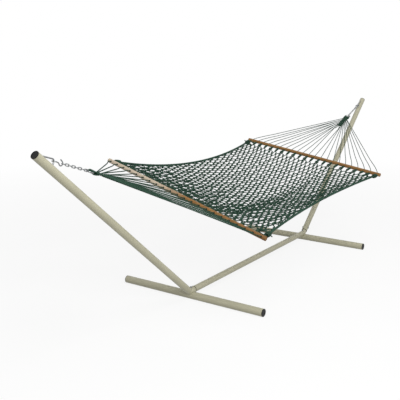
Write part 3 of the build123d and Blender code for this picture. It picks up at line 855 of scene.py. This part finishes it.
for end, side in ENDS.items():
    for face, sign in SIDES.items():
        share = NET_START if end == "near" else 1 - NET_START
        point, ahead, aside, up = bed_frame(share, sign)
        knot = RopeMesh(f"{end}_{face}_corner_knot")
        knot.add(knot_turns(point, ahead, aside, up), KNOT_ROPE, CORD_LAY, sides=FINE_SIDES)
        if (end, face) in LASHED:
            second = end_crossing(end, 1 if face == "front" else CORD_COUNT - 2)[0][0]
            for shift in (-KNOT_ROPE, KNOT_ROPE):
                turn = corner_lashing(point + ahead * shift, second + ahead * shift, up)
                knot.add(turn, KNOT_ROPE, CORD_LAY, sides=FINE_SIDES, closed=True)
        tail_root = point - ahead * side * KNOT_TAIL_ROOT
        tail_tip = tail_root + aside * sign * KNOT_TAIL_LENGTH + up * KNOT_TAIL_RISE[end]
        tail = [tail_root, (tail_root + tail_tip) / 2, tail_tip]
        knot.add(tail, KNOT_ROPE, CORD_LAY, sides=FINE_SIDES)
        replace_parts(knot.finish(ROPE), f"{end}_{face}_knot")


# Painted shade: dark rings at the rims of the two outer tubes, standing for the shadow lines of the
# joints
def rim_centre(node, axis):
    """Middle of the rim at a tube's end."""
    points = node_points(node)
    reach = points @ axis
    return points[reach > reach.max() - RIM_DEPTH].mean(axis=0)


FAR_LOW, FAR_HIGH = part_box("far_upright")
SLEEVE_AXIS = unit(np.array([FAR_LOW[0] - FAR_HIGH[0], 0, FAR_LOW[2] - FAR_HIGH[2]]))
SEAM_SHADOWS = {"near_upright": np.array([1.0, 0, 0]), "far_upright": SLEEVE_AXIS}
for node, axis in SEAM_SHADOWS.items():
    level = np.array([0, 1.0, 0])
    upward = np.cross(axis, level)
    seam_shadow = RopeMesh(f"{node}_seam")
    turn = [2 * math.pi * step / SEAM_SHADOW_STEPS for step in range(SEAM_SHADOW_STEPS)]
    middle = rim_centre(node, axis)
    circle = [middle + (level * math.cos(a) + upward * math.sin(a)) * SEAM_SHADOW_RADIUS for a in turn]
    seam_shadow.add(circle, SEAM_SHADOW_WIRE, CORD_LAY, step=0.003, sides=8, groove=0, closed=True)
    seam_shadow.finish(FINISHES["black_plastic"], "stand", "black_plastic")


# Floor
def floor_finish():
    """Pale floor that keeps shadows near the object and fades to the white backdrop."""
    finish = Finish("floor")
    finish.set(Roughness=0.9)
    place = finish.object_vector()
    tone = finish.noise(place, 1.5, 3.0)
    rays = finish.node("ShaderNodeLightPath")
    seen = finish.maths("MAXIMUM", rays.outputs["Is Camera Ray"], rays.outputs["Is Glossy Ray"])
    seen = finish.maths("MAXIMUM", seen, rays.outputs["Is Transmission Ray"])
    pale = finish.ramp(tone, (0.3, (0.84, 0.84, 0.83)), (0.7, (0.88, 0.88, 0.87)))
    finish.link(finish.mix(seen, (0.44, 0.44, 0.43), pale), finish.shader.inputs["Base Color"])
    length = finish.node("ShaderNodeVectorMath", operation="LENGTH")
    finish.link(place, length.inputs[0])
    fade = finish.spread(length.outputs["Value"], FLOOR_WHITE, 1.0, FADE_START, FADE_END)
    white = finish.node("ShaderNodeEmission")
    blend = finish.node("ShaderNodeMixShader")
    finish.link(finish.maths("MULTIPLY", seen, fade), blend.inputs["Fac"])
    finish.link(finish.shader.outputs["BSDF"], blend.inputs[1])
    finish.link(white.outputs["Emission"], blend.inputs[2])
    finish.link(blend.outputs["Shader"], finish.tree.nodes["Material Output"].inputs["Surface"])
    return finish.material


floor_mesh = bpy.data.meshes.new("floor")
corners = [(x * FLOOR_HALF, y * FLOOR_HALF, 0) for x, y in FLOOR_CORNERS]
floor_mesh.from_pydata(corners, [], [(0, 1, 2, 3)])
floor_mesh.materials.append(floor_finish())
floor = bpy.data.objects.new("floor", floor_mesh)
bpy.context.scene.collection.objects.link(floor)

# Light: a surround that looks white but lights less, and two soft lamps
world = bpy.data.worlds.new("surround")
bpy.context.scene.world = world
world.use_nodes = True
tree = world.node_tree
rays = tree.nodes.new("ShaderNodeLightPath")
seen = rays.outputs["Is Camera Ray"]
for kind in ("Is Glossy Ray", "Is Transmission Ray"):
    either = tree.nodes.new("ShaderNodeMath")
    either.operation = "MAXIMUM"
    tree.links.new(seen, either.inputs[0])
    tree.links.new(rays.outputs[kind], either.inputs[1])
    seen = either.outputs["Value"]
strength = tree.nodes.new("ShaderNodeMapRange")
strength.inputs["To Min"].default_value = AMBIENT
tree.links.new(seen, strength.inputs["Value"])
tree.links.new(strength.outputs["Result"], tree.nodes["Background"].inputs["Strength"])
tree.nodes["Background"].inputs["Color"].default_value = (1, 1, 1, 1)


def soft_lamp(name, place, size, power):
    lamp = bpy.data.lights.new(name, "AREA")
    lamp.size = size
    lamp.energy = power
    holder = bpy.data.objects.new(name, lamp)
    holder.location = place
    holder.rotation_euler = (Vector(LAMP_TARGET) - Vector(place)).to_track_quat("-Z", "Y").to_euler()
    bpy.context.scene.collection.objects.link(holder)


soft_lamp("key", place=(-4.6, -5.2, 3.6), size=3.5, power=290)
soft_lamp("top", place=(-1.0, -2.5, 5.5), size=3.0, power=130)

# Camera
camera = bpy.data.cameras.new("camera")
camera.sensor_width = CAMERA_SENSOR
camera.sensor_fit = "HORIZONTAL"
camera.lens = CAMERA_LENS
viewer = bpy.data.objects.new("camera", camera)
viewer.location = CAMERA_PLACE
heading = Vector((
    math.cos(CAMERA_DIP) * math.sin(CAMERA_AZIMUTH),
    math.cos(CAMERA_DIP) * math.cos(CAMERA_AZIMUTH),
    -math.sin(CAMERA_DIP),
))
viewer.rotation_euler = heading.to_track_quat("-Z", "Y").to_euler()
bpy.context.scene.collection.objects.link(viewer)
bpy.context.scene.camera = viewer
bpy.context.scene.view_settings.view_transform = "Standard"
